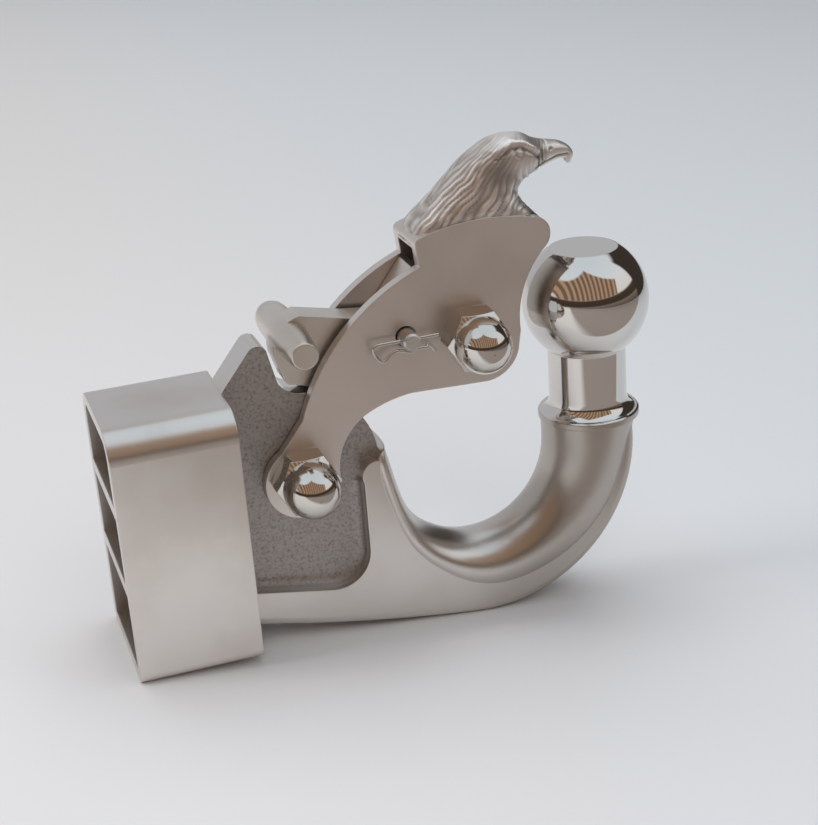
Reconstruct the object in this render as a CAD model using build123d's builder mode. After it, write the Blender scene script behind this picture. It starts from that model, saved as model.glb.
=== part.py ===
from build123d import *
from math import atan2, cos, degrees, radians, sin
import os

os.makedirs("parts", exist_ok=True)

# Frame: X runs from the mounting face to the ball, -Y is the nut side, origin in the middle of that face

# Mounting block, a cast box that is open at the back
block_depth = 47.0
block_width = 58.0
block_height = 100.0
block_top_radius = 11.0
block_foot_radius = 4.0
block_wall = 4.5
block_front_wall = 11.0
rib_thickness = 5.0
upper_rib_z = 19.0
lower_rib_z = -12.0

# Latch pivot and the web that carries it
pivot_ahead = 25.5
pivot_z = 13.8
web_thickness = 16.0
web_radius = 31.5
web_peak_height = 52.4
web_fillet = 5.0
hollow_radius = 14.0

# Lever pivot and safety pin, from the latch pivot
lever_ahead = 70.0
lever_above = 44.2
pin_behind_lever = 25.6
pin_above_lever = 3.8

# Throat of the hook, its arm plate and the tow ball
throat_ahead = 71.5
throat_below = 12.3
throat_radius = 32.0
throat_lean = 14.0
finger_length = 22.0
arm_thickness = 28.0
belly_radius = 63.6
belly_edge_radius = 4.0
belly_ahead = 2.0
belly_above = 0.5
bar_radius = 19.3
ring_radius = 20.2
ring_z = 11.7
ring_ledge = 2.0
ring_overlap = 0.8
neck_radius = 15.5
neck_fillet = 6.0
ball_radius = 25.0
ball_above_ring = 47.5
ball_flat_radius = 13.5

# Latch casting
cheek_thickness = 4.5
cheek_gap = 17.0
lobe_radius = 14.6
lobe_drop = 2.5
bridge_underside = 35.8
bridge_thickness = 8.2
wall_ahead = 17.6

# Lock lever
lever_thickness = 12.0
lever_boss_radius = 11.0
lever_edge_radius = 0.8
head_behind = 14.0
head_height = 28.0
handle_length = 52.0
handle_radius = 6.5
handle_end_radius = 4.8
side_clearance = 0.3
handle_ahead = 27.8
handle_z = 65.9
lever_lift = 32.0
pin_relief = 9.0

# Fasteners
bolt_diameter = 14.0
bolt_clearance = 0.15
cheek_hole_clearance = 0.3
hex_across_flats = 22.0
bolt_head_height = 9.0
nut_height = 11.0
cap_diameter = 21.0
cap_height = 25.0
thread_clearance = 0.1
thread_depth = 16.0
hex_chamfer = 1.6

# Safety pin and wire clip
pin_diameter = 7.0
pin_clearance = 1.2
pin_head_diameter = 12.0
pin_head_height = 3.0
pin_reach = 8.5
clip_offset = 4.0
clip_wire = 1.4
clip_clearance = 0.4
clip_lead = 11.6
clip_loop = 11.6
pin_chamfer = 0.8

# Lever spring
spring_above_lever = 19.0
spring_diameter = 11.0
spring_wire = 1.8
spring_turns = 7
spring_clearance = 0.1
spigot_diameter = 6.4
spigot_height = 3.0

# Points on each oval section of the cast forms
oval_points = 12

# Places that follow from the sizes
pivot_x = block_depth + pivot_ahead
lever_x = pivot_x + lever_ahead
lever_z = pivot_z + lever_above
pin_x = lever_x - pin_behind_lever
pin_z = lever_z + pin_above_lever
throat_x = pivot_x + throat_ahead
throat_z = pivot_z - throat_below
ball_x = throat_x + throat_radius + bar_radius
ball_z = ring_z + ball_above_ring
bridge_z = lever_z + bridge_underside
spring_z = lever_z + spring_above_lever
head_face_x = lever_x - head_behind
wall_face_x = lever_x + wall_ahead
web_half = web_thickness / 2
arm_half = arm_thickness / 2
cheek_inner = cheek_gap / 2
cheek_outer = cheek_inner + cheek_thickness
clip_y = -cheek_outer - clip_offset
handle_x = block_depth + handle_ahead
hex_corner = hex_across_flats / 2 / cos(radians(30))
pin_distance = (pin_behind_lever**2 + pin_above_lever**2) ** 0.5
pin_angle = 180 - degrees(atan2(pin_above_lever, pin_behind_lever))


def by_pivot(ahead, above):
    return (pivot_x + ahead, pivot_z + above)


def by_lever(ahead, above):
    return (lever_x + ahead, lever_z + above)


def by_bridge(ahead, above):
    return (lever_x + ahead, bridge_z + bridge_thickness + above)


def by_front(ahead, above):
    return (block_depth + ahead, above)


def lobe_point(angle):
    swing = radians(angle)
    return by_pivot(lobe_radius * cos(swing), lobe_radius * sin(swing) - lobe_drop)


def web_point(angle):
    swing = radians(angle)
    return by_pivot(web_radius * cos(swing), web_radius * sin(swing))


def throat_point(angle, outward):
    swing = radians(angle)
    reach = throat_radius + outward
    return (throat_x + reach * cos(swing), throat_z + reach * sin(swing))


def belly_point(angle):
    swing = radians(angle)
    centre_x = throat_x + belly_ahead
    centre_z = throat_z + belly_above
    return (centre_x + belly_radius * cos(swing), centre_z + belly_radius * sin(swing))


def finger_point(outward, along):
    foot_x, foot_z = throat_point(180 + throat_lean, outward)
    return (foot_x - along * sin(radians(throat_lean)), foot_z + along * cos(radians(throat_lean)))


def clip_point(ahead, above):
    return (pin_x + ahead, clip_y, pin_z + above)


def section_plane(start, end):
    """Plane across a casting, its local x running from start to end in the XZ plane."""
    middle = ((start[0] + end[0]) / 2, 0, (start[1] + end[1]) / 2)
    chord = Vector(end[0] - start[0], 0, end[1] - start[1])
    return Plane(origin=middle, x_dir=chord, z_dir=chord.cross(Vector(0, 1, 0)))


def oval(half_length, half_width):
    """Points round an oval section, starting at the same place on every section of a loft."""
    turns = [radians(step * 360 / oval_points) for step in range(oval_points)]
    return [(half_length * cos(turn), half_width * sin(turn)) for turn in turns]


# Bead of the horn: angle round the throat, half depth, half width
bead_sections = [
    (0, 17.8, 18.6),
    (-16, 16.6, 17.9),
    (-38, 15.7, 17.0),
    (-65, 14.2, 16.0),
    (-90, 12.6, 15.5),
    (-118, 8.5, 15.0),
    (-140, 6.3, 15.0),
    (-180 + throat_lean, 5.0, 15.0),
]

# Lip at the web: height above the foot of the finger, half depth, half width
lip_depth = 4.5
lip_sections = [
    (finger_length + 3.0, 1.5, 11.0),
    (finger_length + 1.5, 3.4, 13.5),
    (finger_length - 4.0, lip_depth, 15.0),
]

# Eagle: back of the head or neck, throat or underside of the beak, width
eagle_sections = [
    (by_bridge(-15.5, -7.0), by_bridge(30.5, -9.5), 24.0),
    (by_bridge(-17.0, 0.0), by_bridge(30.0, -4.0), 24.0),
    (by_bridge(-7.7, 10.5), by_bridge(27.3, 1.0), 22.0),
    (by_bridge(4.5, 22.0), by_bridge(27.5, 6.0), 20.0),
    (by_bridge(14.5, 27.0), by_bridge(30.0, 9.0), 19.0),
    (by_bridge(25.5, 27.3), by_bridge(32.5, 11.0), 17.0),
    (by_bridge(34.5, 23.7), by_bridge(35.5, 12.2), 11.0),
    (by_bridge(41.5, 21.8), by_bridge(42.0, 13.8), 7.5),
    (by_bridge(47.0, 19.4), by_bridge(45.3, 14.6), 4.5),
    (by_bridge(49.6, 15.5), by_bridge(46.8, 13.8), 3.0),
    (by_bridge(48.6, 12.4), by_bridge(47.4, 12.2), 1.6),
]

with BuildPart() as hook_body:
    # Block
    with BuildSketch(Plane.YZ) as block_profile:
        Rectangle(block_width, block_height)
        fillet(block_profile.vertices().group_by(Axis.Y)[-1], block_top_radius)
        fillet(block_profile.vertices().group_by(Axis.Y)[0], block_foot_radius)
    extrude(amount=block_depth)

    # Upright web with the notch for the lever's toe
    with BuildSketch(Plane.XZ) as web_profile:
        with BuildLine():
            peak_z = pivot_z + web_peak_height
            Polyline(by_front(-1, -40), by_front(-1, 50), by_front(0, 51.5), by_front(10.8, peak_z - 1.5))
            ThreePointArc(by_front(10.8, peak_z - 1.5), by_front(15.0, peak_z), by_front(17.6, peak_z - 2))
            Line(by_front(17.6, peak_z - 2), by_front(20.7, peak_z - 15.8))
            ThreePointArc(by_front(20.7, peak_z - 15.8), by_pivot(-2.4, 33.8), web_point(81))
            ThreePointArc(web_point(81), web_point(40), web_point(-5))
            Polyline(web_point(-5), by_pivot(web_radius - 2, -60), by_front(-1, -40))
        make_face()
    extrude(amount=web_half, both=True)

    # Arm plate
    with BuildSketch(Plane.XZ) as arm_profile:
        with BuildLine():
            Line(by_front(-1, -44.4), by_front(-1, -29.8))
            FilletPolyline(by_front(-1, -29.8), by_front(49, -39.2), by_front(49, 6), radius=hollow_radius)
            ThreePointArc(by_front(49, 6), by_front(50, 12.5), finger_point(lip_depth, finger_length))
            Spline(
                finger_point(lip_depth, finger_length),
                *[throat_point(angle, depth) for angle, depth, width in reversed(bead_sections)],
                (ball_x, ring_z),
            )
            Polyline((ball_x, ring_z), belly_point(9))
            ThreePointArc(belly_point(9), belly_point(-45), belly_point(-96))
            ThreePointArc(belly_point(-96), by_front(50, -55.2), by_front(-1, -44.4))
        make_face()
    extrude(amount=arm_half, both=True)
    arcs = hook_body.edges().filter_by(GeomType.CIRCLE)
    belly = arcs.filter_by(lambda edge: edge.radius > throat_radius and abs(edge.center().Y) > web_half)
    fillet(belly, belly_edge_radius)

    # Cove where the web runs into the arm
    cove_start, cove_corner, cove_end = by_front(-1, -29.8), by_front(49, -39.2), by_front(49, 6)
    cove_along = Vector(cove_corner[0] - cove_start[0], 0, cove_corner[1] - cove_start[1])
    cove_across = Vector(0, 1, 0).cross(cove_along)
    with BuildLine() as cove_path:
        FilletPolyline(
            *[(x, -web_half, z) for x, z in (cove_start, cove_corner, cove_end)],
            radius=hollow_radius,
        )
    with BuildSketch(Plane((cove_start[0], -web_half, cove_start[1]), x_dir=-cove_across, z_dir=cove_along)):
        with BuildLine():
            bend = web_fillet * (1 - cos(radians(45)))
            Polyline((web_fillet, 0), (web_fillet, -1), (-1, -1), (-1, web_fillet), (0, web_fillet))
            ThreePointArc((0, web_fillet), (bend, bend), (web_fillet, 0))
        make_face()
    cove = sweep(path=cove_path.line, mode=Mode.PRIVATE)
    add(cove)
    mirror(cove, about=Plane.XZ)

    # Bead of the horn, from the lip on the web to the ring under the ball
    bead_places = []
    for along, depth, half_width in lip_sections:
        bead_places.append((finger_point(0, along), finger_point(2 * depth, along), depth, half_width))
    for angle, depth, half_width in reversed(bead_sections):
        bead_places.append((throat_point(angle, 0), throat_point(angle, 2 * depth), depth, half_width))
    for inner, outer, depth, half_width in bead_places:
        with BuildSketch(section_plane(inner, outer)):
            with BuildLine():
                Spline(*oval(depth, half_width), periodic=True)
            make_face()
    with BuildSketch(Plane((ball_x, 0, ring_z), x_dir=(1, 0, 0), z_dir=(0, 0, 1))):
        with BuildLine():
            Spline(*oval(bar_radius, bar_radius), periodic=True)
        make_face()
    loft()

    # Ring, neck and ball
    with BuildSketch(Plane.XZ) as ball_profile:
        with BuildLine():
            ball_top = ball_z + (ball_radius**2 - ball_flat_radius**2) ** 0.5
            neck_top = ball_z - (ball_radius**2 - neck_radius**2) ** 0.5
            fillet_base = ring_z + ring_ledge
            Polyline(
                (ball_x, ring_z - ring_overlap),
                (ball_x + ring_radius, ring_z - ring_overlap),
                (ball_x + ring_radius, fillet_base - 0.6),
                (ball_x + ring_radius - 0.6, fillet_base),
                (ball_x + neck_radius + neck_fillet * 0.5, fillet_base),
            )
            ThreePointArc(
                (ball_x + neck_radius + neck_fillet * 0.5, fillet_base),
                (ball_x + neck_radius + neck_fillet * 0.13, fillet_base + neck_fillet * 0.4),
                (ball_x + neck_radius, fillet_base + neck_fillet),
            )
            Line((ball_x + neck_radius, fillet_base + neck_fillet), (ball_x + neck_radius, neck_top))
            ThreePointArc(
                (ball_x + neck_radius, neck_top),
                (ball_x + ball_radius, ball_z),
                (ball_x + ball_flat_radius, ball_top),
            )
            Polyline((ball_x + ball_flat_radius, ball_top), (ball_x, ball_top), (ball_x, ring_z - ring_overlap))
        make_face()
    revolve(axis=Axis((ball_x, 0, 0), (0, 0, 1)))

    # Hollow back with two ribs
    with BuildSketch(Plane.YZ) as hollow:
        Rectangle(block_width - 2 * block_wall, block_height - 2 * block_wall)
        fillet(hollow.vertices().group_by(Axis.Y)[-1], block_top_radius - block_wall)
        with Locations((0, upper_rib_z), (0, lower_rib_z)):
            Rectangle(block_width, rib_thickness, mode=Mode.SUBTRACT)
    extrude(amount=block_depth - block_front_wall, mode=Mode.SUBTRACT)

    # Bore for the pivot bolt
    with BuildSketch(Plane.XZ):
        with Locations((pivot_x, pivot_z)):
            Circle((bolt_diameter + bolt_clearance) / 2)
    extrude(amount=arm_thickness, both=True, mode=Mode.SUBTRACT)

hook_body.part.label = "hook_body"
export_step(hook_body.part, "parts/hook_body.step")

with BuildPart() as latch:
    # Cheeks as one plate
    with BuildSketch(Plane.XZ) as cheek_profile:
        with BuildLine():
            Line(lobe_point(120), by_pivot(2.1, 22.2))
            ThreePointArc(by_pivot(2.1, 22.2), by_pivot(25.0, 57.2), by_lever(-18.6, 29.3))
            Line(by_lever(-18.6, 29.3), by_bridge(-19.5, -6.4))
            ThreePointArc(by_bridge(-19.5, -6.4), by_bridge(-19.1, -4.8), by_bridge(-17.5, -3.6))
            ThreePointArc(by_bridge(-17.5, -3.6), by_bridge(6.6, 0), by_bridge(26.8, -2.4))
            ThreePointArc(by_bridge(26.8, -2.4), by_bridge(33.8, -7.8), by_lever(32.1, 29.8))
            ThreePointArc(by_lever(32.1, 29.8), by_lever(24.1, 19.0), by_lever(20.3, -2.0))
            Line(by_lever(20.3, -2.0), by_lever(19.1, -9.6))
            ThreePointArc(by_lever(19.1, -9.6), by_lever(15.2, -16.2), by_lever(5.8, -20.2))
            Line(by_lever(5.8, -20.2), by_lever(-24.9, -19.1))
            ThreePointArc(by_lever(-24.9, -19.1), by_pivot(35.0, 23.2), by_pivot(26.5, 19.8))
            ThreePointArc(by_pivot(26.5, 19.8), by_pivot(18.2, 11.8), lobe_point(3))
            ThreePointArc(lobe_point(3), lobe_point(-118), lobe_point(120))
        make_face()
    extrude(amount=cheek_outer, both=True)

    # Space for the web and the lever, closed by the bridge above and the front wall
    with BuildSketch(Plane.XZ):
        with BuildLine():
            Polyline(
                by_pivot(-2 * lobe_radius, -2 * lobe_radius),
                by_lever(wall_ahead - 2.3, -lever_above - 2 * lobe_radius),
                by_lever(wall_ahead - 2.3, -2.0),
                by_lever(wall_ahead, 12.0),
                by_lever(wall_ahead, bridge_underside),
                by_pivot(-2 * lobe_radius, lever_above + bridge_underside),
                close=True,
            )
        make_face()
    extrude(amount=cheek_inner, both=True, mode=Mode.SUBTRACT)

    # Spigot that holds the spring on the front wall
    with BuildSketch(Plane((wall_face_x, 0, spring_z), x_dir=(0, 1, 0), z_dir=(-1, 0, 0))):
        Circle(spigot_diameter / 2)
    extrude(amount=spigot_height)

    # Eagle's neck and head
    with BuildPart() as eagle:
        for back, front, width in eagle_sections:
            with BuildSketch(section_plane(back, front)):
                with BuildLine():
                    half_length = Vector(front[0] - back[0], front[1] - back[1]).length / 2
                    Spline(*oval(half_length, width / 2), periodic=True)
                make_face()
        loft()

    # Holes for the bolts and the safety pin
    with BuildSketch(Plane.XZ):
        with Locations((pivot_x, pivot_z), (lever_x, lever_z)):
            Circle((bolt_diameter + cheek_hole_clearance) / 2)
        with Locations((pin_x, pin_z)):
            Circle((pin_diameter + pin_clearance) / 2)
    extrude(amount=2 * cheek_outer, both=True, mode=Mode.SUBTRACT)

latch.part.label = "latch"
export_step(latch.part, "parts/latch.step")

with BuildPart() as lock_lever:
    with BuildSketch(Plane.XZ) as lever_profile:
        with BuildLine():
            Line(by_front(21.2, 59.2), by_front(24.0, 50.2))
            ThreePointArc(by_front(24.0, 50.2), by_front(24.9, 48.9), by_front(26.3, 48.3))
            Line(by_front(26.3, 48.3), by_front(38.0, 45.4))
            ThreePointArc(by_front(38.0, 45.4), by_front(40.2, 46.2), by_front(41.3, 48.3))
            ThreePointArc(by_front(41.3, 48.3), by_front(45.6, 52.4), by_lever(-48.0, -6.0))
            Line(by_lever(-48.0, -6.0), by_lever(0, -lever_boss_radius))
            ThreePointArc(
                by_lever(0, -lever_boss_radius),
                by_lever(lever_boss_radius, 0),
                by_lever(0, lever_boss_radius),
            )
            Line(by_lever(0, lever_boss_radius), by_lever(-33.0, lever_boss_radius))
            Line(by_lever(-33.0, lever_boss_radius), by_front(50.6, 70.3))
            Line(by_front(50.6, 70.3), by_front(32.0, 74.4))
            ThreePointArc(by_front(32.0, 74.4), by_front(23.6, 69.5), by_front(21.2, 59.2))
        make_face()
    extrude(amount=lever_thickness / 2, both=True)


    # Boss that fills the gap between the cheeks
    with BuildSketch(Plane.XZ):
        with Locations((lever_x, lever_z)):
            Circle(lever_boss_radius)
    extrude(amount=cheek_inner - side_clearance, both=True)

    # Head that fills the hollow under the bridge and takes the spring
    with BuildSketch(Plane.XZ):
        with BuildLine():
            Polyline(
                by_lever(-head_behind, 0),
                by_lever(-head_behind, head_height - 3.5),
                by_lever(-head_behind - 2.0, head_height - 0.6),
                by_lever(-head_behind - 5.5, head_height),
                by_lever(-33.0, lever_boss_radius),
                by_lever(-25.0, lever_boss_radius - 4.0),
                close=True,
            )
        make_face()
    extrude(amount=cheek_inner - side_clearance, both=True)

    # Cross handle, a barrel that thins towards its ends
    with BuildSketch(Plane((handle_x, 0, handle_z), x_dir=(1, 0, 0), z_dir=(0, 0, 1))):
        with BuildLine():
            half = handle_length / 2
            Polyline((handle_end_radius, -half), (0, -half), (0, half), (handle_end_radius, half))
            ThreePointArc((handle_end_radius, half), (handle_radius, 0), (handle_end_radius, -half))
        make_face()
    revolve(axis=Axis((handle_x, 0, handle_z), (0, 1, 0)))

    # Spigot for the spring
    with BuildSketch(Plane((head_face_x, 0, spring_z), x_dir=(0, 1, 0), z_dir=(1, 0, 0))):
        Circle(spigot_diameter / 2)
    extrude(amount=spigot_height)

    # Bore, and the slot through which the lever lifts clear of the safety pin
    with BuildSketch(Plane.XZ):
        with Locations((lever_x, lever_z)):
            Circle((bolt_diameter + bolt_clearance) / 2)
        with BuildLine(mode=Mode.PRIVATE):
            pin_path = CenterArc((lever_x, lever_z), pin_distance, pin_angle, lever_lift + 10)
        SlotArc(pin_path, pin_relief)
    extrude(amount=cheek_gap, both=True, mode=Mode.SUBTRACT)

lock_lever.part.label = "lock_lever"
export_step(lock_lever.part, "parts/lock_lever.step")


def hex_bolt(x, z):
    """Bolt from the far cheek to the cap nut on the near one."""
    axis = Axis((x, 0, z), (0, 1, 0))
    with BuildPart() as bolt:
        with BuildSketch(Plane((x, cheek_outer, z), x_dir=(1, 0, 0), z_dir=(0, 1, 0))):
            RegularPolygon(hex_across_flats / 2, 6, major_radius=False)
        extrude(amount=bolt_head_height)
        with BuildSketch(Plane((x, 0, z), x_dir=(1, 0, 0), z_dir=(0, 0, 1))):
            with BuildLine():
                top = cheek_outer + bolt_head_height
                Polyline(
                    (0, cheek_outer),
                    (hex_across_flats, cheek_outer),
                    (hex_corner, top - hex_chamfer),
                    (hex_across_flats / 2 - 0.5, top),
                    (0, top),
                    close=True,
                )
            make_face()
        revolve(axis=axis, mode=Mode.INTERSECT)
        with BuildSketch(Plane((x, cheek_outer, z), x_dir=(1, 0, 0), z_dir=(0, -1, 0))):
            Circle(bolt_diameter / 2)
        extrude(amount=2 * cheek_outer + thread_depth - 1)
    return bolt.part


def cap_nut(x, z):
    """Domed nut seated on the near cheek."""
    axis = Axis((x, 0, z), (0, 1, 0))
    section = Plane((x, 0, z), x_dir=(1, 0, 0), z_dir=(0, 0, 1))
    with BuildPart() as nut:
        with BuildSketch(Plane((x, -cheek_outer, z), x_dir=(1, 0, 0), z_dir=(0, -1, 0))):
            RegularPolygon(hex_across_flats / 2, 6, major_radius=False)
        extrude(amount=nut_height)
        with BuildSketch(section):
            with BuildLine():
                seat = -cheek_outer
                top = seat - nut_height
                Polyline(
                    (0, seat),
                    (hex_across_flats / 2, seat),
                    (hex_corner, seat - hex_chamfer),
                    (hex_corner, top + hex_chamfer),
                    (hex_across_flats / 2 - 0.5, top),
                    (0, top),
                    close=True,
                )
            make_face()
        revolve(axis=axis, mode=Mode.INTERSECT)
        with BuildSketch(section):
            with BuildLine():
                cap_radius = cap_diameter / 2
                dome = seat - cap_height + cap_radius
                Polyline((0, dome - cap_radius), (0, top), (cap_radius, top), (cap_radius, dome))
                RadiusArc((cap_radius, dome), (0, dome - cap_radius), cap_radius)
            make_face()
        revolve(axis=axis)
        with BuildSketch(Plane((x, seat, z), x_dir=(1, 0, 0), z_dir=(0, -1, 0))):
            Circle((bolt_diameter + thread_clearance) / 2)
        extrude(amount=thread_depth, mode=Mode.SUBTRACT)
    return nut.part


pivot_bolt = hex_bolt(pivot_x, pivot_z)
pivot_bolt.label = "pivot_bolt"
export_step(pivot_bolt, "parts/pivot_bolt.step")

lever_bolt = hex_bolt(lever_x, lever_z)
lever_bolt.label = "lever_bolt"
export_step(lever_bolt, "parts/lever_bolt.step")

pivot_cap_nut = cap_nut(pivot_x, pivot_z)
pivot_cap_nut.label = "pivot_cap_nut"
export_step(pivot_cap_nut, "parts/pivot_cap_nut.step")

lever_cap_nut = cap_nut(lever_x, lever_z)
lever_cap_nut.label = "lever_cap_nut"
export_step(lever_cap_nut, "parts/lever_cap_nut.step")

with BuildPart() as safety_pin:
    with BuildSketch(Plane((pin_x, cheek_outer, pin_z), x_dir=(1, 0, 0), z_dir=(0, 1, 0))):
        Circle(pin_head_diameter / 2)
    extrude(amount=pin_head_height)
    with BuildSketch(Plane((pin_x, cheek_outer, pin_z), x_dir=(1, 0, 0), z_dir=(0, -1, 0))):
        Circle(pin_diameter / 2)
    extrude(amount=2 * cheek_outer + pin_reach)
    chamfer(safety_pin.faces().sort_by(Axis.Y)[0].edges(), pin_chamfer)
    with BuildSketch(Plane((pin_x, clip_y, pin_z), x_dir=(0, 1, 0), z_dir=(1, 0, 0))):
        Circle((clip_wire + clip_clearance) / 2)
    extrude(amount=pin_diameter, both=True, mode=Mode.SUBTRACT)

safety_pin.part.label = "safety_pin"
export_step(safety_pin.part, "parts/safety_pin.step")

with BuildPart() as r_clip:
    with BuildLine() as clip_path:
        bow = -(pin_diameter + clip_wire + clip_clearance) / 2
        Line(clip_point(clip_lead, 0), clip_point(-clip_loop, 0))
        Spline(
            clip_point(-clip_loop, 0),
            clip_point(-clip_loop - 2.2, -3.4),
            clip_point(-clip_loop + 1.2, -6.8),
            clip_point(-6.4, bow + 0.4),
            clip_point(-3.4, bow + 0.6),
            clip_point(0.4, bow - 0.5),
            clip_point(4.4, bow + 0.4),
            clip_point(7.2, bow + 0.5),
            clip_point(10.0, bow - 1.8),
            tangents=[(-1, 0, 0), (0.8, 0, -1)],
        )
    with BuildSketch(Plane(clip_point(clip_lead, 0), z_dir=(-1, 0, 0))):
        Circle(clip_wire / 2)
    sweep(path=clip_path.line)

r_clip.part.label = "r_clip"
export_step(r_clip.part, "parts/r_clip.step")

with BuildPart() as lever_spring:
    spring_foot_x = head_face_x + spring_clearance
    spring_length = wall_face_x - head_face_x - 2 * spring_clearance
    coil_radius = (spring_diameter - spring_wire) / 2
    pitch = spring_length / spring_turns
    with BuildLine() as coil:
        Helix(pitch, spring_length, coil_radius, center=(spring_foot_x, 0, spring_z), direction=(1, 0, 0))
    with BuildSketch(Plane(coil.line @ 0, z_dir=coil.line % 0)):
        Circle(spring_wire / 2)
    sweep(path=coil.line)
    with BuildSketch(Plane((spring_foot_x, 0, spring_z), x_dir=(0, 1, 0), z_dir=(1, 0, 0))):
        Circle(spring_diameter)
    extrude(amount=spring_length, mode=Mode.INTERSECT)

lever_spring.part.label = "lever_spring"
export_step(lever_spring.part, "parts/lever_spring.step")
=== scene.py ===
from math import atan2, copysign, cos, exp, hypot, radians, sin

import bmesh
import bpy
from mathutils import Matrix, Vector, noise


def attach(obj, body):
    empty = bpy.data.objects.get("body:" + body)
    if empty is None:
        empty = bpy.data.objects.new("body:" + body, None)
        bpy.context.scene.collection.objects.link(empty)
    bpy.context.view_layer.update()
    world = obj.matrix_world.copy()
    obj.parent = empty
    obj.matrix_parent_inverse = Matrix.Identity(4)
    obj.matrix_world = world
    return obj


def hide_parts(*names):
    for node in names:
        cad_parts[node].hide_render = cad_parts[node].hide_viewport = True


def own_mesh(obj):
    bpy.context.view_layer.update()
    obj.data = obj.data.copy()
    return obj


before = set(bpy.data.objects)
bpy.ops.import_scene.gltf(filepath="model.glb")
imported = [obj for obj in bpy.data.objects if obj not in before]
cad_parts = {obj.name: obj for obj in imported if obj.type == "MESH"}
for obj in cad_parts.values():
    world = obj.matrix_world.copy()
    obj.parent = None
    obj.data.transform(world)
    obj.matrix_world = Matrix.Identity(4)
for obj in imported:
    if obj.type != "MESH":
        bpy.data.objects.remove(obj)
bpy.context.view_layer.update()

MM = 0.001


def srgb(red, green, blue):
    """Linear colour from display values between 0 and 255."""
    def linear(value):
        share = value / 255
        return share / 12.92 if share <= 0.04045 else ((share + 0.055) / 1.055) ** 2.4
    return (linear(red), linear(green), linear(blue), 1.0)


# Camera, fitted to the corners of the mounting block in the photograph
CAMERA_PLACE = Vector((-58.1, -581.2, 279.9)) * MM
CAMERA_AZIMUTH = radians(17.03)
CAMERA_ELEVATION = radians(22.71)
CAMERA_ROLL = radians(-4.28)
CAMERA_CLIP = 0.01
FOCAL_PIXELS = 1700.0
IMAGE_WIDTH = 818.0
SENSOR_WIDTH = 36.0

# Floor in metres: the hook stands on the back edge of its block and on its belly
FLOOR_EDGE = Vector((0.0, 0.0, -50.0)) * MM
FLOOR_TILT = radians(4.55)
FLOOR_SIZE = 3.0
FLOOR_FALL = (-0.4, 0.9)
FLOOR_SIDE = (0.0, 0.5)
FLOOR_TINT = 0.5
FLOOR_FRONT_COLOUR = srgb(219, 219, 221)
FLOOR_BACK_COLOUR = srgb(208, 207, 207)
FLOOR_SIDE_COLOUR = srgb(200, 210, 218)

# Card that darkens what the near faces mirror, in metres: near, dark and far lie along Y
SHADE_NEAR = -0.105
SHADE_DARK = -0.19
SHADE_FAR = -2.5
SHADE_WIDTH = 2.5
SHADE_LIFT = 1.5 * MM
SHADE_PIVOT = 0.1
SHADE_LEAN = 0.8
SHADE_PALE_COLOUR = srgb(222, 222, 222)
SHADE_DARK_COLOUR = srgb(156, 147, 141)

# Lamps, all turned to one point: name, place, width and height in metres, power in watts, colour
LAMP_TARGET = (0.1, 0.0, 0.0)
LAMPS = (
    ("overhead", (0.2, 0.9, 2.4), (2.6, 2.0), 26.0, (1.0, 1.0, 1.0)),
    ("open_sky", (0.0, -1.7, 1.7), (1.6, 1.2), 12.0, (1.0, 1.0, 1.0)),
    ("window", (-2.0, 0.1, 1.5), (0.9, 0.9), 20.0, (1.0, 0.96, 0.91)),
)

# Street that the metal mirrors: share of the way from straight down to straight up, and colour
STREET = (
    (0.00, srgb(120, 112, 105)),
    (0.47, srgb(100, 90, 82)),
    (0.51, srgb(128, 116, 106)),
    (0.53, srgb(66, 55, 47)),
    (0.61, srgb(74, 62, 52)),
    (0.63, srgb(232, 230, 226)),
    (0.80, srgb(232, 238, 244)),
    (1.00, srgb(218, 230, 240)),
)

# Building, backdrop and doorway: ranges of the world's direction over which each one fades in
BUILDING_MIDDLE = -0.16
BUILDING_SIDE = (0.80, 0.77)
BUILDING_FOOT = (0.22, 0.25)
BUILDING_ROOF = (0.95, 0.91)
ROOF_SLOPE = 0.45
STRIPE_RATE = 48.0
STRIPE_RANGE = (-0.3, 0.5)
STRIPE_DARK_COLOUR = srgb(122, 100, 84)
STRIPE_LIGHT_COLOUR = srgb(184, 154, 128)
BACKDROP_FRONT = (-0.02, 0.12)
BACKDROP_TOP = (0.9, 0.6)
BACKDROP_COLOUR = srgb(190, 192, 196)
DOORWAY_SIDE = (0.42, 0.50)
DOORWAY_FRONT = (-0.12, -0.04)
DOORWAY_TOP = (0.80, 0.70)
DOORWAY_COLOUR = srgb(62, 55, 50)

# Metals
SATIN = srgb(226, 221, 216)
SATIN_WARM = srgb(214, 207, 200)
LATCH_SATIN = srgb(230, 223, 217)
LATCH_WARM = srgb(222, 213, 206)
LEVER_SATIN = srgb(230, 224, 217)
LEVER_WARM = srgb(220, 212, 204)
GRIP_SATIN = srgb(228, 222, 214)
GRIP_WARM = srgb(216, 206, 196)
# Painted shade: darker satin that the horn takes towards the ball
HORN_PAINTED_SHADE = srgb(188, 180, 172)
CAST = srgb(184, 179, 176)
# Darker cast colour: random blotches on the web, and painted shade at the web's rim
CAST_DARK_AND_RIM_SHADE = srgb(146, 139, 135)
POLISHED = srgb(222, 218, 213)
POLISHED_HAZE = srgb(210, 205, 198)
WIRE = srgb(205, 203, 200)
# Eagle: painted shade in the feather grooves and painted highlight on the ridges
FEATHER_GROOVE_PAINTED_SHADE = srgb(134, 122, 112)
FEATHER_RIDGE_PAINTED_HIGHLIGHT = srgb(254, 249, 244)

# Radius to which the shader rounds the edges
SATIN_EDGE = 0.7 * MM
HOOK_EDGE = 0.6 * MM
BOLT_EDGE = 0.5 * MM
PIN_EDGE = 0.4 * MM
EAGLE_EDGE = 0.3 * MM
WIRE_EDGE = 0.2 * MM

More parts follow.
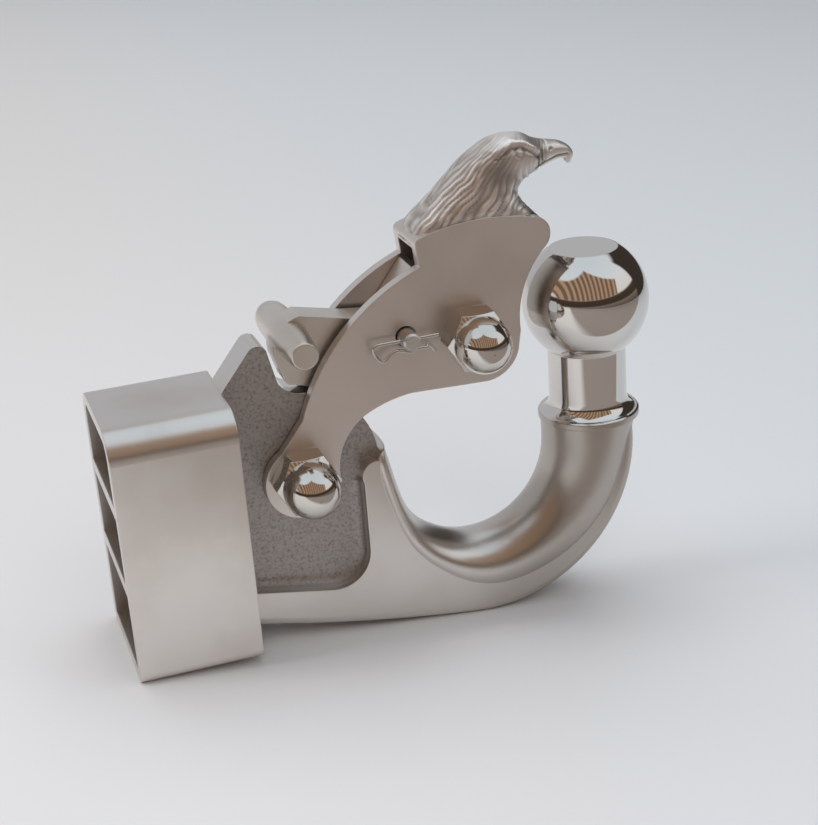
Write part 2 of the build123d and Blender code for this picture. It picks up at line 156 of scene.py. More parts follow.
# Satin finish: brushing along X, cloudy tone, and how far roughness strays from its mean
BRUSH_SCALE = 520.0
BRUSH_DETAIL = 3.0
BRUSH_STRETCH = (0.12, 1.0, 1.0)
BRUSH_ROUGHNESS = 0.05
CLOUD_RANGE = (0.35, 0.7)
CLOUD_POLISH = 0.01
CLOUD_DULL = 0.07

# Places on the hook that divide its finishes, in the row frame
BLOCK_FRONT = 47.0 * MM
WEB_FACE = 8.0 * MM
ARM_FACE = 14.0 * MM
RING_BASE = 13.2 * MM
BALL_AXIS = 195.3 * MM

# Ranges over which the hook's finishes and its painted shade fade in: X and Z, depth from the middle, and
# share of the normal
BALL_HEIGHT = (RING_BASE - 0.2 * MM, RING_BASE + 0.4 * MM)
BALL_REACH = (BALL_AXIS - 30 * MM, BALL_AXIS - 26 * MM)
WEB_BACK = (BLOCK_FRONT - 0.5 * MM, BLOCK_FRONT + 0.5 * MM)
WEB_FRONT = (108 * MM, 103 * MM)
WEB_DEPTH = (ARM_FACE - 0.6 * MM, WEB_FACE + 2.2 * MM)
# Painted shade: the web darkens towards its rim, where it rises to the arm faces
WEB_RIM_PAINTED_SHADE = (WEB_FACE + 0.4 * MM, WEB_FACE + 4.0 * MM)
# Painted shade on the horn fades in over this reach along X
HORN_SHADE_REACH = (128 * MM, 175 * MM)
NOTCH_HEIGHT = (30 * MM, 34 * MM)
NOTCH_FACING = (-0.35, 0.1)
SIDE_FACING = (0.25, 0.6)
NOTCH_POLISH = 0.75

# Roughness and relief of the hook's finishes
HOOK_SATIN_ROUGHNESS = (0.285, 0.35)
WEB_ROUGHNESS = (0.42, 0.62)
MIRROR_ROUGHNESS = 0.05
BLOTCH_RANGE = (0.2, 0.6)
BRUSH_HEIGHT = 0.06
SATIN_BUMP = 0.35
WEB_BUMP = 0.75
MIRROR_BUMP = 0.02

# Eagle on the latch, in millimetres of the row frame
BRIDGE_TOP = ((124.0, 98.0), (149.1, 102.0), (170.0, 99.4))
EAGLE_START = 120.0
EAGLE_CLEARANCE = 0.35
EAGLE_ALONG = 280
EAGLE_AROUND = 132

# Sections of the eagle from its foot to the tip of the beak: back, throat, width and
# how square its side is, from a low number for square to 1 for round
EAGLE_SECTIONS = [
    ((122.6, 95.0), (178.0, 93.0), 25.4, 0.30),
    ((126.2, 100.8), (174.2, 98.2), 25.2, 0.34),
    ((131.6, 105.4), (169.8, 102.8), 24.6, 0.45),
    ((136.0, 110.0), (168.2, 105.6), 23.2, 0.60),
    ((142.6, 117.0), (168.0, 108.4), 21.4, 0.75),
    ((151.0, 124.2), (169.8, 110.8), 20.0, 0.85),
    ((160.4, 128.8), (172.6, 112.5), 18.6, 0.90),
    ((170.0, 129.0), (175.8, 113.8), 16.4, 0.90),
    ((175.6, 126.2), (178.8, 114.9), 12.0, 0.90),
    ((181.4, 124.8), (182.8, 116.0), 8.5, 0.90),
    ((186.3, 123.6), (186.4, 116.6), 6.4, 0.90),
    ((190.2, 121.2), (187.8, 116.5), 4.8, 0.90),
    ((192.1, 117.9), (188.2, 115.7), 3.8, 0.90),
    ((191.1, 114.8), (189.2, 114.6), 2.2, 0.90),
]

# Feathers: strands that fan out from a point above the beak, bent by slow and quick noise
FEATHER_APEX = (178.0, 143.0)
FEATHER_DEPTH = 0.9
FEATHER_LENGTH = 19.0
FEATHER_STAGGER = 0.37
FEATHER_ROOT = (0.0, 0.35)
FEATHER_TIP = (0.72, 1.0)
TIP_HEIGHT = 0.45
WARP_SCALE = 0.09
WARP_TURN = 0.05
WARP_STAGGER = 0.3
WANDER_SCALE = 0.22
WANDER_START = 7.0
WANDER_TURN = 0.018
FLANK_TURN = 0.020
STRANDS_PER_RADIAN = 17.0
STRAND_ROUNDNESS = 1.7
STRAND_SCATTER = 12.9898
THIN_STRAND = 0.55
STRAND_HEIGHT = 0.80
BARBS_PER_RADIAN = 95.0
BARB_WANDER = 2.0
BARB_HEIGHT = 0.28
GROOVE_BARBS = 0.35
FOOT_RISE = (-0.4, 2.4)

# Painted shade of the feathers, dark in the grooves and light on the ridges, and the most that a smooth zone
# can have
GROOVE_SHADE = 0.10
RIDGE_SHADE = 0.95
SMOOTH_SHADE = 0.8

# Smooth zones of the eagle: share of the strands that each one takes away, and its own painted shade, darkest
# in the cheek hollow
ZONES = {
    "head": (0.80, 0.62),
    "crown": (0.55, 0.66),
    # Painted shade darkens the cheek hollow
    "cheek": (0.85, 0.12),
    "throat": (0.55, 0.70),
    "beak": (1.00, 0.55),
}
HEAD_LEAN = 0.35
HEAD_LEVEL = 120.0
HEAD_BACK = (160.0, 168.0)
HEAD_FOOT = (111.0, 116.0)
CROWN_LEAN = 0.25
CROWN_EDGE = (83.0, 88.0)
CHEEK = (159.5, 116.5)
CHEEK_REACH = (7.5, 5.0)
CHEEK_DEPTH = 0.7
CHEEK_SIDE = (2.0, 6.0)
THROAT_LEAN = -0.4
THROAT_LEVEL = 100.0
THROAT_BACK = (157.0, 165.0)
THROAT_TOP = (108.0, 113.0)
CERE_X = 178.8
BEAK_START = (CERE_X - 1.5, CERE_X + 1.0)

# Marks on the head: rise in millimetres and change of painted shade that each one brings, darker in the cut
# marks and lighter on the raised ones
MARKS = {
    "brow": (0.85, 0.25),
    "under_brow": (-0.45, -0.40),
    "socket": (-0.35, -0.30),
    "eye": (0.35, 0.20),
    "mouth": (-0.60, -0.70),
    "nostril": (-0.40, -0.50),
    "cere": (-0.15, -0.20),
}
BROW = ((158.0, 124.0), (164.5, 127.2), (170.0, 126.2), (175.5, 122.6))
BROW_WIDTH = 1.1
UNDER_BROW_DROP = 2.2
UNDER_BROW_WIDTH = 0.8
EYE = (167.6, 123.6)
EYE_SIZE = 1.2
EYE_SIDE = (1.2, 3.0)
SOCKET_RADIUS = EYE_SIZE * 1.6
SOCKET_WIDTH = 0.7
MOUTH = ((174.5, 115.6), (179.5, 117.2), (184.5, 118.6), (189.2, 118.4))
MOUTH_WIDTH = 0.45
MOUTH_SIDE = (0.4, 1.2)
NOSTRIL = (181.6, 121.8)
NOSTRIL_SIZE = 0.7
NOSTRIL_SIDE = (0.8, 1.6)
CERE_LEAN = -0.15
CERE_LEVEL = 118.0
CERE_WIDTH = 0.6
CERE_FOOT = (114.5, 116.0)

# Grip on the lever's cross handle, in millimetres: place along Y and radius
GRIP_AXIS = (74.8, 65.9)
GRIP_STEPS = 64
GRIP_PROFILE = (
    (-26.3, 4.6), (-26.1, 4.9), (-25.6, 5.2), (-20.0, 5.7), (-14.0, 6.2), (-7.0, 6.7), (0.0, 7.0), (8.0, 7.1),
    (15.0, 7.0), (20.0, 6.7), (23.0, 6.3), (25.2, 5.7), (26.4, 4.9), (27.2, 3.6), (27.6, 1.8),
)


# Shader building

def new_material(name, metallic=1.0):
    material = bpy.data.materials.new(name)
    material.use_nodes = True
    tree = material.node_tree
    shader = tree.nodes["Principled BSDF"]
    shader.inputs["Metallic"].default_value = metallic
    return material, tree, shader


def add(tree, kind, **settings):
    node = tree.nodes.new(kind)
    for key, value in settings.items():
        setattr(node, key, value)
    return node


def put(tree, socket, value):
    """Sets a socket to a number or a colour, or links it to another socket."""
    if isinstance(value, bpy.types.NodeSocket):
        tree.links.new(value, socket)
    else:
        socket.default_value = value


def maths(tree, operation, *values):
    node = add(tree, "ShaderNodeMath", operation=operation)
    for socket, value in zip(node.inputs, values):
        put(tree, socket, value)
    return node.outputs[0]


def product(tree, first, *others):
    for other in others:
        first = maths(tree, "MULTIPLY", first, other)
    return first


def smooth_step(tree, value, start, end):
    """Share that rises from 0 at start to 1 at end, which may be the lower of the two."""
    node = add(tree, "ShaderNodeMapRange", interpolation_type="SMOOTHSTEP")
    put(tree, node.inputs["Value"], value)
    node.inputs["From Min"].default_value = start
    node.inputs["From Max"].default_value = end
    return node.outputs["Result"]


def mix(tree, share, first, second, kind="RGBA"):
    """Colour between two colours, or number between two numbers for the kind FLOAT."""
    node = add(tree, "ShaderNodeMix", data_type=kind)
    put(tree, node.inputs["Factor"], share)
    put(tree, node.inputs["A"], first)
    put(tree, node.inputs["B"], second)
    return node.outputs["Result"]


def mix_number(tree, share, first, second):
    return mix(tree, share, first, second, "FLOAT")


def split_axes(tree, vector):
    split = add(tree, "ShaderNodeSeparateXYZ")
    tree.links.new(vector, split.inputs[0])
    return split.outputs


def object_place(tree):
    """Place in the row frame, whole and as X, Y and Z."""
    place = add(tree, "ShaderNodeTexCoord").outputs["Object"]
    return place, split_axes(tree, place)


def grain(tree, place, scale, detail=4.0, stretch=None):
    """Noise with so many cells a metre, drawn out along the axes with a low stretch."""
    if stretch is not None:
        mapping = add(tree, "ShaderNodeMapping")
        mapping.inputs["Scale"].default_value = stretch
        tree.links.new(place, mapping.inputs["Vector"])
        place = mapping.outputs["Vector"]
    node = add(tree, "ShaderNodeTexNoise")
    node.inputs["Scale"].default_value = scale
    node.inputs["Detail"].default_value = detail
    tree.links.new(place, node.inputs["Vector"])
    return node.outputs["Fac"]


def brushing(tree, place):
    return grain(tree, place, BRUSH_SCALE, BRUSH_DETAIL, BRUSH_STRETCH)


def clouded(tree, cloud, light, warm):
    return mix(tree, smooth_step(tree, cloud, *CLOUD_RANGE), light, warm)


def bumped(tree, height, strength, distance, edge):
    """Normal with rounded edges and a fine relief."""
    rounded = add(tree, "ShaderNodeBevel", samples=6)
    rounded.inputs["Radius"].default_value = edge
    bump = add(tree, "ShaderNodeBump")
    put(tree, bump.inputs["Strength"], strength)
    bump.inputs["Distance"].default_value = distance
    tree.links.new(height, bump.inputs["Height"])
    tree.links.new(rounded.outputs[0], bump.inputs["Normal"])
    return bump.outputs[0]


# Finishes

def satin_material(name, light, warm, rough, edge=SATIN_EDGE):
    """Ground stainless with faint brushing and cloudy tone."""
    material, tree, shader = new_material(name)
    place, _ = object_place(tree)
    cloud = grain(tree, place, scale=28.0)
    brush = brushing(tree, place)
    put(tree, shader.inputs["Base Color"], clouded(tree, cloud, light, warm))
    uneven = mix_number(tree, cloud, rough - CLOUD_POLISH, rough + CLOUD_DULL)
    scratched = maths(tree, "MULTIPLY", brush, BRUSH_ROUGHNESS)
    put(tree, shader.inputs["Roughness"], maths(tree, "ADD", uneven, scratched))
    put(tree, shader.inputs["Normal"], bumped(tree, brush, strength=0.12, distance=0.02 * MM, edge=edge))
    return material


def polished_material(name, tint, rough, edge):
    """Mirror finish with a trace of polishing haze."""
    material, tree, shader = new_material(name)
    place, _ = object_place(tree)
    haze = grain(tree, place, scale=60.0, detail=5.0)
    ripple = grain(tree, place, scale=35.0, detail=2.0)
    put(tree, shader.inputs["Base Color"], mix(tree, haze, tint, POLISHED_HAZE))
    put(tree, shader.inputs["Roughness"], mix_number(tree, haze, rough * 0.6, rough * 1.6))
    put(tree, shader.inputs["Normal"], bumped(tree, ripple, strength=0.04, distance=0.05 * MM, edge=edge))
    return material


def hook_masks(tree, x, z, depth):
    """Shares of the pebbly web, and of the mirror-polished ball, neck and notch."""
    normal = add(tree, "ShaderNodeNewGeometry").outputs["Normal"]
    facing_x, facing_y, _ = split_axes(tree, normal)
    sideways = smooth_step(tree, maths(tree, "ABSOLUTE", facing_y), *SIDE_FACING)
    edgewise = maths(tree, "SUBTRACT", 1.0, sideways)
    behind_throat = product(tree, smooth_step(tree, x, *WEB_BACK), smooth_step(tree, x, *WEB_FRONT))
    web = product(tree, behind_throat, smooth_step(tree, depth, *WEB_DEPTH), sideways)
    high = smooth_step(tree, z, *NOTCH_HEIGHT)
    notch = product(tree, behind_throat, edgewise, high, smooth_step(tree, facing_x, *NOTCH_FACING))
    ball = product(tree, smooth_step(tree, z, *BALL_HEIGHT), smooth_step(tree, x, *BALL_REACH))
    mirror = maths(tree, "MAXIMUM", ball, maths(tree, "MULTIPLY", notch, NOTCH_POLISH))
    return web, mirror


def hook_material():
    """Satin casting with painted shade darkening the horn, pebbly dark web with painted shade at its rim,
    mirror-polished ball, neck and notch.
    """
    material, tree, shader = new_material("hook_cast")
    place, (x, y, z) = object_place(tree)
    depth = maths(tree, "ABSOLUTE", y)
    web, mirror = hook_masks(tree, x, z, depth)
    cloud = grain(tree, place, scale=26.0)
    brush = brushing(tree, place)
    pebbles = grain(tree, place, scale=620.0, detail=6.0)
    blotches = grain(tree, place, scale=900.0)

    satin_and_horn_shade = clouded(tree, cloud, SATIN, SATIN_WARM)
    # Painted shade: the horn's satin darkens towards the ball
    satin_and_horn_shade = mix(tree, smooth_step(tree, x, *HORN_SHADE_REACH), satin_and_horn_shade, HORN_PAINTED_SHADE)
    rough_cast_and_rim_shade = mix(tree, smooth_step(tree, blotches, *BLOTCH_RANGE), CAST_DARK_AND_RIM_SHADE, CAST)
    # Painted shade: the web darkens towards its rim
    rough_cast_and_rim_shade = mix(tree, smooth_step(tree, depth, *WEB_RIM_PAINTED_SHADE), rough_cast_and_rim_shade, CAST_DARK_AND_RIM_SHADE)
    colour = mix(tree, web, satin_and_horn_shade, rough_cast_and_rim_shade)
    put(tree, shader.inputs["Base Color"], mix(tree, mirror, colour, POLISHED))

    rough = mix_number(tree, cloud, *HOOK_SATIN_ROUGHNESS)
    rough = mix_number(tree, web, rough, mix_number(tree, pebbles, *WEB_ROUGHNESS))
    put(tree, shader.inputs["Roughness"], mix_number(tree, mirror, rough, MIRROR_ROUGHNESS))

    relief = mix_number(tree, web, maths(tree, "MULTIPLY", brush, BRUSH_HEIGHT), pebbles)
    strength = mix_number(tree, mirror, mix_number(tree, web, SATIN_BUMP, WEB_BUMP), MIRROR_BUMP)
    put(tree, shader.inputs["Normal"], bumped(tree, relief, strength, distance=0.25 * MM, edge=HOOK_EDGE))
    return material


def eagle_material():
    """Bright cast feathers, with painted shade in the grooves and a painted highlight on the ridges."""
    material, tree, shader = new_material("eagle_cast", metallic=0.82)
    place, _ = object_place(tree)
    # The relief attribute holds painted shade, from dark grooves at 0 to highlighted ridges at 1
    ridge = add(tree, "ShaderNodeAttribute", attribute_name="relief").outputs["Fac"]
    fine = grain(tree, place, scale=420.0, detail=5.0)
    put(tree, shader.inputs["Base Color"], mix(tree, ridge, FEATHER_GROOVE_PAINTED_SHADE, FEATHER_RIDGE_PAINTED_HIGHLIGHT))
    put(tree, shader.inputs["Roughness"], mix_number(tree, ridge, 0.44, 0.29))
    put(tree, shader.inputs["Normal"], bumped(tree, fine, strength=0.35, distance=0.18 * MM, edge=EAGLE_EDGE))
    return material


def floor_material():
    """Pale matt floor, cooler towards the right."""
    material, tree, shader = new_material("pale_floor", metallic=0.0)
    _, (x, y, _) = object_place(tree)
    colour = mix(tree, smooth_step(tree, y, *FLOOR_FALL), FLOOR_FRONT_COLOUR, FLOOR_BACK_COLOUR)
    cool = maths(tree, "MULTIPLY", smooth_step(tree, x, *FLOOR_SIDE), FLOOR_TINT)
    put(tree, shader.inputs["Base Color"], mix(tree, cool, colour, FLOOR_SIDE_COLOUR))
    shader.inputs["Roughness"].default_value = 0.8
    shader.inputs["Specular IOR Level"].default_value = 0.2
    return material


def shade_material():
    """Matt card that darkens away from the hook, along a line that leans with X."""
    material, tree, shader = new_material("room_shade", metallic=0.0)
    _, (x, y, _) = object_place(tree)
    aside = maths(tree, "MULTIPLY", maths(tree, "SUBTRACT", x, SHADE_PIVOT), SHADE_LEAN)
    dark = smooth_step(tree, maths(tree, "SUBTRACT", y, aside), SHADE_NEAR, SHADE_DARK)
    put(tree, shader.inputs["Base Color"], mix(tree, dark, SHADE_PALE_COLOUR, SHADE_DARK_COLOUR))
    shader.inputs["Roughness"].default_value = 1.0
    return material


# Pieces

def paint(piece, material):
    piece.data.materials.clear()
    piece.data.materials.append(material)


def linked(name, data):
    """Object in the scene that shows a mesh, a lamp or a camera."""
    holder = bpy.data.objects.new(name, data)
    bpy.context.collection.objects.link(holder)
    return holder


def piece_from(name, shape):
    """Object made from a bmesh, which is freed."""
    mesh = bpy.data.meshes.new(name)
    shape.to_mesh(mesh)
    shape.free()
    return linked(name, mesh)


def skin_rings(shape, rings, smooth_ends):
    """Joins a run of rings into a closed skin, with one face over each end."""
    for lower, upper in zip(rings, rings[1:]):
        for step in range(len(lower)):
            after = (step + 1) % len(lower)
            shape.faces.new((lower[step], lower[after], upper[after], upper[step])).smooth = True
    for end in (rings[0], rings[-1]):
        shape.faces.new(end).smooth = smooth_ends
    bmesh.ops.recalc_face_normals(shape, faces=shape.faces[:])


def dress_nodes():
    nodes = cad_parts
    paint(nodes["hook_body"], hook_material())
    paint(nodes["lock_lever"], satin_material("lever_satin", LEVER_SATIN, LEVER_WARM, rough=0.32))
    for name in ("pivot_cap_nut", "lever_cap_nut", "pivot_bolt", "lever_bolt"):
        paint(nodes[name], polished_material(name + "_polish", POLISHED, rough=0.06, edge=BOLT_EDGE))
    paint(nodes["safety_pin"], satin_material("pin_turned", WIRE, SATIN, rough=0.30, edge=PIN_EDGE))
    paint(nodes["r_clip"], polished_material("clip_wire", WIRE, rough=0.16, edge=WIRE_EDGE))


def bridge_height(x):
    """Height of the bridge's crowned top, in millimetres, as a parabola through three points."""
    (ax, az), (bx, bz), (cx, cz) = BRIDGE_TOP
    first = az * (x - bx) * (x - cx) / ((ax - bx) * (ax - cx))
    second = bz * (x - ax) * (x - cx) / ((bx - ax) * (bx - cx))
    third = cz * (x - ax) * (x - bx) / ((cx - ax) * (cx - bx))
    return first + second + third


def latch_plates():
    """Cheeks, bridge and front wall of the latch, without the plain cast form of the eagle."""
    plates = bmesh.new()
    plates.from_mesh(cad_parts["latch"].data)
    eagle_faces = []
    for face in plates.faces:
        face.smooth = False
        x, _, z = (value / MM for value in face.calc_center_median())
        if x > EAGLE_START and z > bridge_height(x) + EAGLE_CLEARANCE:
            eagle_faces.append(face)
    bmesh.ops.delete(plates, geom=eagle_faces, context="FACES")
    piece = piece_from("latch_plates", plates)
    paint(piece, satin_material("latch_satin", LATCH_SATIN, LATCH_WARM, rough=0.30))
    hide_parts("latch")
    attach(piece, "latch")


def dressed_spring():
    """Copy of the spring in polished wire, carried with the latch."""
    spring = linked("spring_coil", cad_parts["lever_spring"].data.copy())
    paint(spring, polished_material("spring_wire", WIRE, rough=0.22, edge=WIRE_EDGE))
    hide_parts("lever_spring")
    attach(spring, "latch")
    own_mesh(spring)


def handle_grip():
    """Turned grip over the lever's cross handle, thick at the far end and slim at the near one."""
    grip = bmesh.new()
    rings = []
    for along, radius in GRIP_PROFILE:
        ring = []
        for step in range(GRIP_STEPS):
            turn = radians(step * 360 / GRIP_STEPS)
            place = Vector((GRIP_AXIS[0] + radius * cos(turn), along, GRIP_AXIS[1] + radius * sin(turn)))
            ring.append(grip.verts.new(place * MM))
        rings.append(ring)
    skin_rings(grip, rings, smooth_ends=False)
    piece = piece_from("handle_grip", grip)
    paint(piece, satin_material("grip_satin", GRIP_SATIN, GRIP_WARM, rough=0.30))
    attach(piece, "lever")


# Eagle

def ease(value, start, end):
    """Share that rises smoothly from 0 at start to 1 at end."""
    share = min(1.0, max(0.0, (value - start) / (end - start)))
    return share * share * (3 - 2 * share)


def bell(distance, width):
    """Share that falls from 1 at no distance to 0 a few widths away."""
    return exp(-((distance / width) ** 2))


def rising_from(low, share):
    """Number that goes from low to 1 as share goes from 0 to 1."""
    return low + (1 - low) * share


def drift(x, y, z, scale, start=0.0):
    """Smooth noise between about -1 and 1."""
    return noise.noise(Vector((x * scale, y * scale, z * scale + start)))


def distance_to_path(point, path):
    """Shortest distance in the XZ plane to a run of straight pieces."""
    best = 1e9
    for (ax, az), (bx, bz) in zip(path, path[1:]):
        along_x, along_z = bx - ax, bz - az
        share = ((point[0] - ax) * along_x + (point[1] - az) * along_z) / (along_x**2 + along_z**2)
        share = min(1.0, max(0.0, share))
        best = min(best, hypot(point[0] - ax - share * along_x, point[1] - az - share * along_z))
    return best


def feather_relief(x, y, z):
    """Height of the carved strands, from 0 in a groove to 1 on a ridge."""
    dx, dz = x - FEATHER_APEX[0], z - FEATHER_APEX[1]
    warp = drift(x, y, z, WARP_SCALE)
    wander = drift(x, y, z, WANDER_SCALE, WANDER_START)
    sweep = atan2(-dx, -dz) + WARP_TURN * warp + WANDER_TURN * wander - FLANK_TURN * abs(y)
    strand = sweep * STRANDS_PER_RADIAN
    lock = int(strand)
    across = abs(strand - lock - 0.5) * 2
    weight = rising_from(THIN_STRAND, abs(sin(lock * STRAND_SCATTER)))
    along = (hypot(dx, dz) / FEATHER_LENGTH + FEATHER_STAGGER * lock + WARP_STAGGER * warp) % 1.0
    run = ease(along, *FEATHER_ROOT) * (1 - ease(along, *FEATHER_TIP))
    plume = (1 - across**STRAND_ROUNDNESS) * weight * rising_from(TIP_HEIGHT, run)
    barbs = abs(sin(sweep * BARBS_PER_RADIAN + BARB_WANDER * wander))
    return min(1.0, STRAND_HEIGHT * plume + BARB_HEIGHT * barbs * rising_from(GROOVE_BARBS, plume))


def smooth_zones(x, z):
    """Share of each zone that is smoother than the feathers."""
    cheek = hypot((x - CHEEK[0]) / CHEEK_REACH[0], (z - CHEEK[1]) / CHEEK_REACH[1])
    head = ease(x + HEAD_LEAN * (z - HEAD_LEVEL), *HEAD_BACK)
    throat = ease(x + THROAT_LEAN * (z - THROAT_LEVEL), *THROAT_BACK)
    return {
        "head": head * ease(z, *HEAD_FOOT),
        "crown": ease(z - CROWN_LEAN * x, *CROWN_EDGE),
        "cheek": bell(cheek, 1.0),
        "throat": throat * (1 - ease(z, *THROAT_TOP)),
        "beak": ease(x, *BEAK_START),
    }


def head_marks(x, y, z):
    """Share of each mark that is raised on the head or cut into it."""
    out = abs(y)
    side = ease(out, *EYE_SIDE)
    from_eye = hypot(x - EYE[0], z - EYE[1])
    from_cere = x - CERE_X + CERE_LEAN * (z - CERE_LEVEL)
    from_nostril = hypot(x - NOSTRIL[0], z - NOSTRIL[1])
    return {
        "brow": bell(distance_to_path((x, z), BROW), BROW_WIDTH) * side,
        "under_brow": bell(distance_to_path((x, z + UNDER_BROW_DROP), BROW), UNDER_BROW_WIDTH) * side,
        "socket": bell(from_eye - SOCKET_RADIUS, SOCKET_WIDTH) * side,
        "eye": bell(from_eye, EYE_SIZE) * side,
        "mouth": bell(distance_to_path((x, z), MOUTH), MOUTH_WIDTH) * ease(out, *MOUTH_SIDE),
        "nostril": bell(from_nostril, NOSTRIL_SIZE) * ease(out, *NOSTRIL_SIDE),
        "cere": bell(from_cere, CERE_WIDTH) * ease(z, *CERE_FOOT),
    }


def eagle_height(x, y, z):
    """Offset of the carved surface from the cast form and the painted shade of its relief."""
    zones = smooth_zones(x, z)
    feathered, plain = 1.0, 0.0
    # Painted shade of the smooth zones, dark in the cheek hollow
    for name, (smoothing, tone) in ZONES.items():
        feathered *= 1 - smoothing * zones[name]
        plain += tone * zones[name]
    strands = feather_relief(x, y, z)
    foot = ease(z - bridge_height(x), *FOOT_RISE)
    hollow = zones["cheek"] * ease(abs(y), *CHEEK_SIDE)
    height = FEATHER_DEPTH * strands * feathered * foot - CHEEK_DEPTH * hollow
    shade = (GROOVE_SHADE + RIDGE_SHADE * strands) * feathered
    shade += (1 - feathered) * min(SMOOTH_SHADE, plain)
    marks = head_marks(x, y, z)
    # Painted shade in the cut marks and painted highlight on the raised ones
    for name, (rise, tone) in MARKS.items():
        height += rise * marks[name]
        shade += tone * marks[name]
    return height, min(1.0, max(0.0, shade))


def spline_point(points, share):
    """Point on a smooth run through points, with share from 0 to 1."""
    place = share * (len(points) - 1)
    index = min(int(place), len(points) - 2)
    t = place - index
    p0 = points[max(index - 1, 0)]
    p1, p2 = points[index], points[index + 1]
    p3 = points[min(index + 2, len(points) - 1)]
    return tuple(
        0.5 * (2 * b + (c - a) * t + (2 * a - 5 * b + 4 * c - d) * t**2 + (3 * b - a - 3 * c + d) * t**3)
        for a, b, c, d in zip(p0, p1, p2, p3)
    )


def carve(mesh):
    """Moves each vertex along its normal and keeps the painted shade of the relief for the material."""
    # The relief attribute stores painted shade, not height
    shades = mesh.attributes.new("relief", "FLOAT", "POINT")
    moved = []
    for vertex in mesh.vertices:
        x, y, z = (value / MM for value in vertex.co)
        height, shade = eagle_height(x, y, z)
        moved.append(vertex.co + vertex.normal * height * MM)
        shades.data[vertex.index].value = shade
    for vertex, place in zip(mesh.vertices, moved):
        vertex.co = place


def carved_eagle():
    """Eagle's head as one fine closed skin, with its feathers, eye and beak carved in."""
    sections = [(*back, *front, width, square) for back, front, width, square in EAGLE_SECTIONS]
    skin = bmesh.new()
    rings = []
    for row in range(EAGLE_ALONG):
        back_x, back_z, front_x, front_z, width, square = spline_point(sections, row / (EAGLE_ALONG - 1))
        ring = []
        for step in range(EAGLE_AROUND):
            turn = radians(step * 360 / EAGLE_AROUND)
            share = 0.5 - 0.5 * cos(turn)
            x = back_x + (front_x - back_x) * share
            z = back_z + (front_z - back_z) * share
            y = copysign(width / 2 * abs(sin(turn)) ** square, sin(turn))
            ring.append(skin.verts.new((x * MM, y * MM, z * MM)))
        rings.append(ring)
    skin_rings(skin, rings, smooth_ends=True)
    eagle = piece_from("eagle_carving", skin)
    carve(eagle.data)
    paint(eagle, eagle_material())
    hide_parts("latch")
    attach(eagle, "latch")


# Surroundings

def floor_sheet(name, reach, front, back, lift=0.0):
    """Four-cornered sheet along the tilted floor, from its reach along X and its ends along Y."""
    along = Vector((cos(FLOOR_TILT), 0, -sin(FLOOR_TILT)))
    corners = [(-reach, front), (reach, front), (reach, back), (-reach, back)]
    points = [FLOOR_EDGE + along * a + Vector((0, b, lift)) for a, b in corners]
    mesh = bpy.data.meshes.new(name)
    mesh.from_pydata(points, [], [(0, 1, 2, 3)])
    return linked(name, mesh)


def pale_floor():
    """Floor under the block's back edge and the belly, tilted with the hook's stance."""
    floor = floor_sheet("floor", FLOOR_SIZE, -FLOOR_SIZE, FLOOR_SIZE)
    paint(floor, floor_material())


def room_shade():
    """Card over the floor that only shows in reflections, where the table ends and the room is dark."""
    card = floor_sheet("room_shade", SHADE_WIDTH, SHADE_FAR, SHADE_NEAR, SHADE_LIFT)
    paint(card, shade_material())
    card.visible_camera = False
    card.visible_diffuse = False
    card.visible_shadow = False


def soft_light(name, place, size, power, colour):
    """Area lamp that lights the hook and isn't mirrored in it."""
    data = bpy.data.lights.new(name, "AREA")
    data.shape = "RECTANGLE"
    data.size, data.size_y = size
    data.energy = power
    data.color = colour
    light = linked(name, data)
    light.location = place
    light.visible_glossy = False
    light.rotation_euler = (Vector(LAMP_TARGET) - Vector(place)).to_track_quat("-Z", "Y").to_euler()


def street_view(tree, z):
    """Colour of ground, street and sky by height."""
    ramp = add(tree, "ShaderNodeValToRGB")
    stops = ramp.color_ramp.elements
    lowest, *others, highest = STREET
    stops[0].position, stops[0].color = lowest
    stops[1].position, stops[1].color = highest
    for position, colour in others:
        stops.new(position).color = colour
    tree.links.new(maths(tree, "MULTIPLY_ADD", z, 0.5, 0.5), ramp.inputs["Fac"])
    return ramp.outputs["Color"]


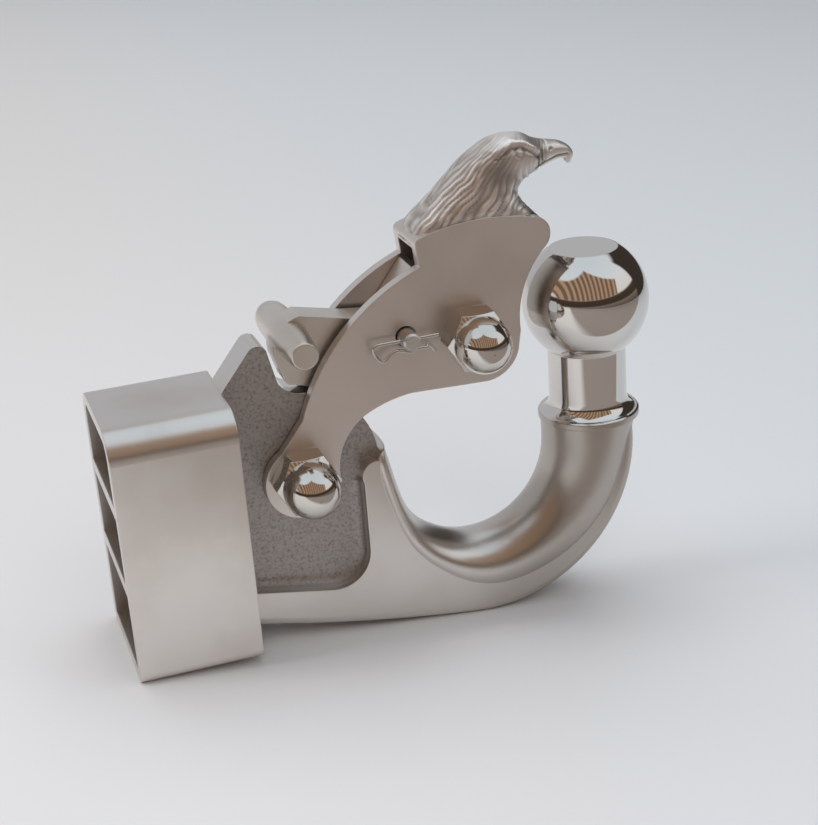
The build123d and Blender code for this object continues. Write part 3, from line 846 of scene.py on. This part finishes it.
def studio():
    """Pale backdrop behind the hook, and a street with a tall building and sky in front of it."""
    world = bpy.data.worlds.new("studio")
    bpy.context.scene.world = world
    world.use_nodes = True
    tree = world.node_tree
    x, y, z = split_axes(tree, add(tree, "ShaderNodeTexCoord").outputs["Generated"])
    view = street_view(tree, z)

    beside = maths(tree, "ABSOLUTE", maths(tree, "SUBTRACT", x, BUILDING_MIDDLE))
    under_roof = maths(tree, "ADD", z, maths(tree, "MULTIPLY", beside, ROOF_SLOPE))
    building = product(
        tree,
        smooth_step(tree, beside, *BUILDING_SIDE),
        smooth_step(tree, z, *BUILDING_FOOT),
        smooth_step(tree, under_roof, *BUILDING_ROOF),
    )
    stripes = smooth_step(tree, maths(tree, "SINE", maths(tree, "MULTIPLY", x, STRIPE_RATE)), *STRIPE_RANGE)
    view = mix(tree, building, view, mix(tree, stripes, STRIPE_DARK_COLOUR, STRIPE_LIGHT_COLOUR))

    backdrop = product(tree, smooth_step(tree, y, *BACKDROP_FRONT), smooth_step(tree, z, *BACKDROP_TOP))
    view = mix(tree, backdrop, view, BACKDROP_COLOUR)
    doorway = product(
        tree,
        smooth_step(tree, x, *DOORWAY_SIDE),
        smooth_step(tree, y, *DOORWAY_FRONT),
        smooth_step(tree, z, *DOORWAY_TOP),
    )
    view = mix(tree, doorway, view, DOORWAY_COLOUR)

    background = tree.nodes["Background"]
    put(tree, background.inputs["Color"], view)
    background.inputs["Strength"].default_value = 1.0
    for lamp in LAMPS:
        soft_light(*lamp)
    bpy.context.scene.view_settings.view_transform = "Standard"


def photo_camera():
    """Camera at the photograph's place, with its turn and its lens."""
    forward = Vector((
        sin(CAMERA_AZIMUTH) * cos(CAMERA_ELEVATION),
        cos(CAMERA_AZIMUTH) * cos(CAMERA_ELEVATION),
        -sin(CAMERA_ELEVATION),
    ))
    level = Vector((cos(CAMERA_AZIMUTH), -sin(CAMERA_AZIMUTH), 0))
    upright = level.cross(forward)
    right = cos(CAMERA_ROLL) * level + sin(CAMERA_ROLL) * upright
    up = cos(CAMERA_ROLL) * upright - sin(CAMERA_ROLL) * level
    data = bpy.data.cameras.new("camera")
    data.sensor_fit = "HORIZONTAL"
    data.sensor_width = SENSOR_WIDTH
    data.lens = FOCAL_PIXELS / IMAGE_WIDTH * SENSOR_WIDTH
    data.clip_start = CAMERA_CLIP
    camera = linked("camera", data)
    turn = Matrix((right, up, -forward)).transposed().to_4x4()
    camera.matrix_world = Matrix.Translation(CAMERA_PLACE) @ turn
    bpy.context.scene.camera = camera


dress_nodes()
latch_plates()
carved_eagle()
dressed_spring()
handle_grip()
pale_floor()
room_shade()
studio()
photo_camera()
